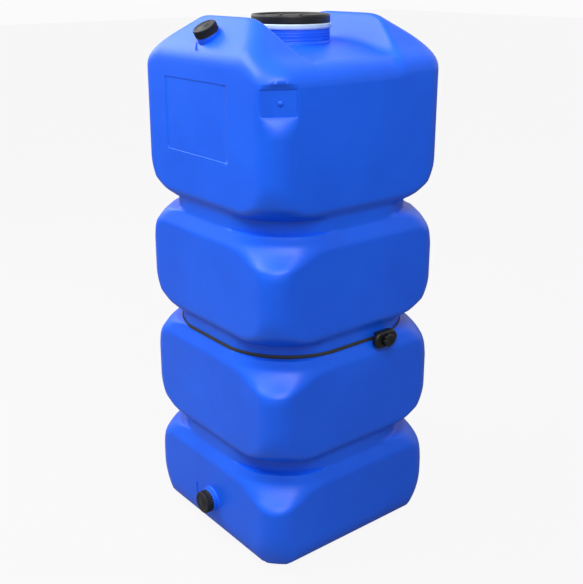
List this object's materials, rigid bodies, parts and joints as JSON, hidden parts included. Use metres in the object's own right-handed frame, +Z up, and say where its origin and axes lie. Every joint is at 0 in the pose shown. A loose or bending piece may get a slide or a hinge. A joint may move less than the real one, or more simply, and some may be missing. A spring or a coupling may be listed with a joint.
{
  "type": "water tank",
  "caption": "Tall square moulded water tank of stacked blocks with waists between them, a screw lid between ridges, a vent cap, a drain cap and a strap round one waist.",
  "frame": {"origin": "middle of the flat base, on the axis of the neck", "axes": "+Z up through the neck and lid; -Y out of the wall with the label recess and the drain; +X out of the wall that carries the strap's clamp"},
  "size_m": [0.7484, 0.764, 1.7695],
  "materials": {
    "tank_plastic": "satin, as moulded",
    "cap_plastic": "fine grain",
    "collar_plastic": "cloudy, natural colour",
    "seal_rubber": "smooth",
    "strap_band": "flat woven band",
    "clamp_plastic": "satin",
    "stud_steel": "bright"
  },
  "bodies": {
    "tank": {"tank_shell": "tank_plastic", "neck_collar": "collar_plastic", "girth_strap": "strap_band", "strap_clamp": "clamp_plastic"},
    "lid_seat": {"lid_gasket": "seal_rubber"},
    "lid": {"main_lid": "cap_plastic"},
    "vent_seat": {"vent_seal": "seal_rubber"},
    "vent": {"vent_cap": "cap_plastic"},
    "drain_seat": {"drain_seal": "seal_rubber"},
    "drain": {"drain_cap": "cap_plastic"},
    "knob": {"strap_knob": "clamp_plastic", "clamp_stud": "stud_steel"}
  },
  "joints": [
    {"name": "lid_lift", "type": "slide", "parent": "tank", "child": "lid_seat", "axis": [0, 0, 1], "range_m": [0, 0.15]},
    {"name": "lid_turn", "type": "hinge", "parent": "lid_seat", "child": "lid", "pos_m": [0, 0, 1.756], "axis": [0, 0, 1], "continuous": true},
    {"name": "vent_pull", "type": "slide", "parent": "tank", "child": "vent_seat", "axis": [0, -0.4832, 0.8755], "range_m": [0, 0.1]},
    {"name": "vent_turn", "type": "hinge", "parent": "vent_seat", "child": "vent", "pos_m": [-0.016, -0.32019, 1.73671], "axis": [0, -0.4832, 0.8755], "continuous": true},
    {"name": "drain_pull", "type": "slide", "parent": "tank", "child": "drain_seat", "axis": [0, -1, 0], "range_m": [0, 0.1]},
    {"name": "drain_turn", "type": "hinge", "parent": "drain_seat", "child": "drain", "pos_m": [0.01, -0.396, 0.137], "axis": [0, -1, 0], "continuous": true},
    {"name": "knob_turn", "type": "hinge", "parent": "tank", "child": "knob", "pos_m": [0.374, 0.108, 0.735], "axis": [1, 0, 0], "continuous": true}
  ]
}
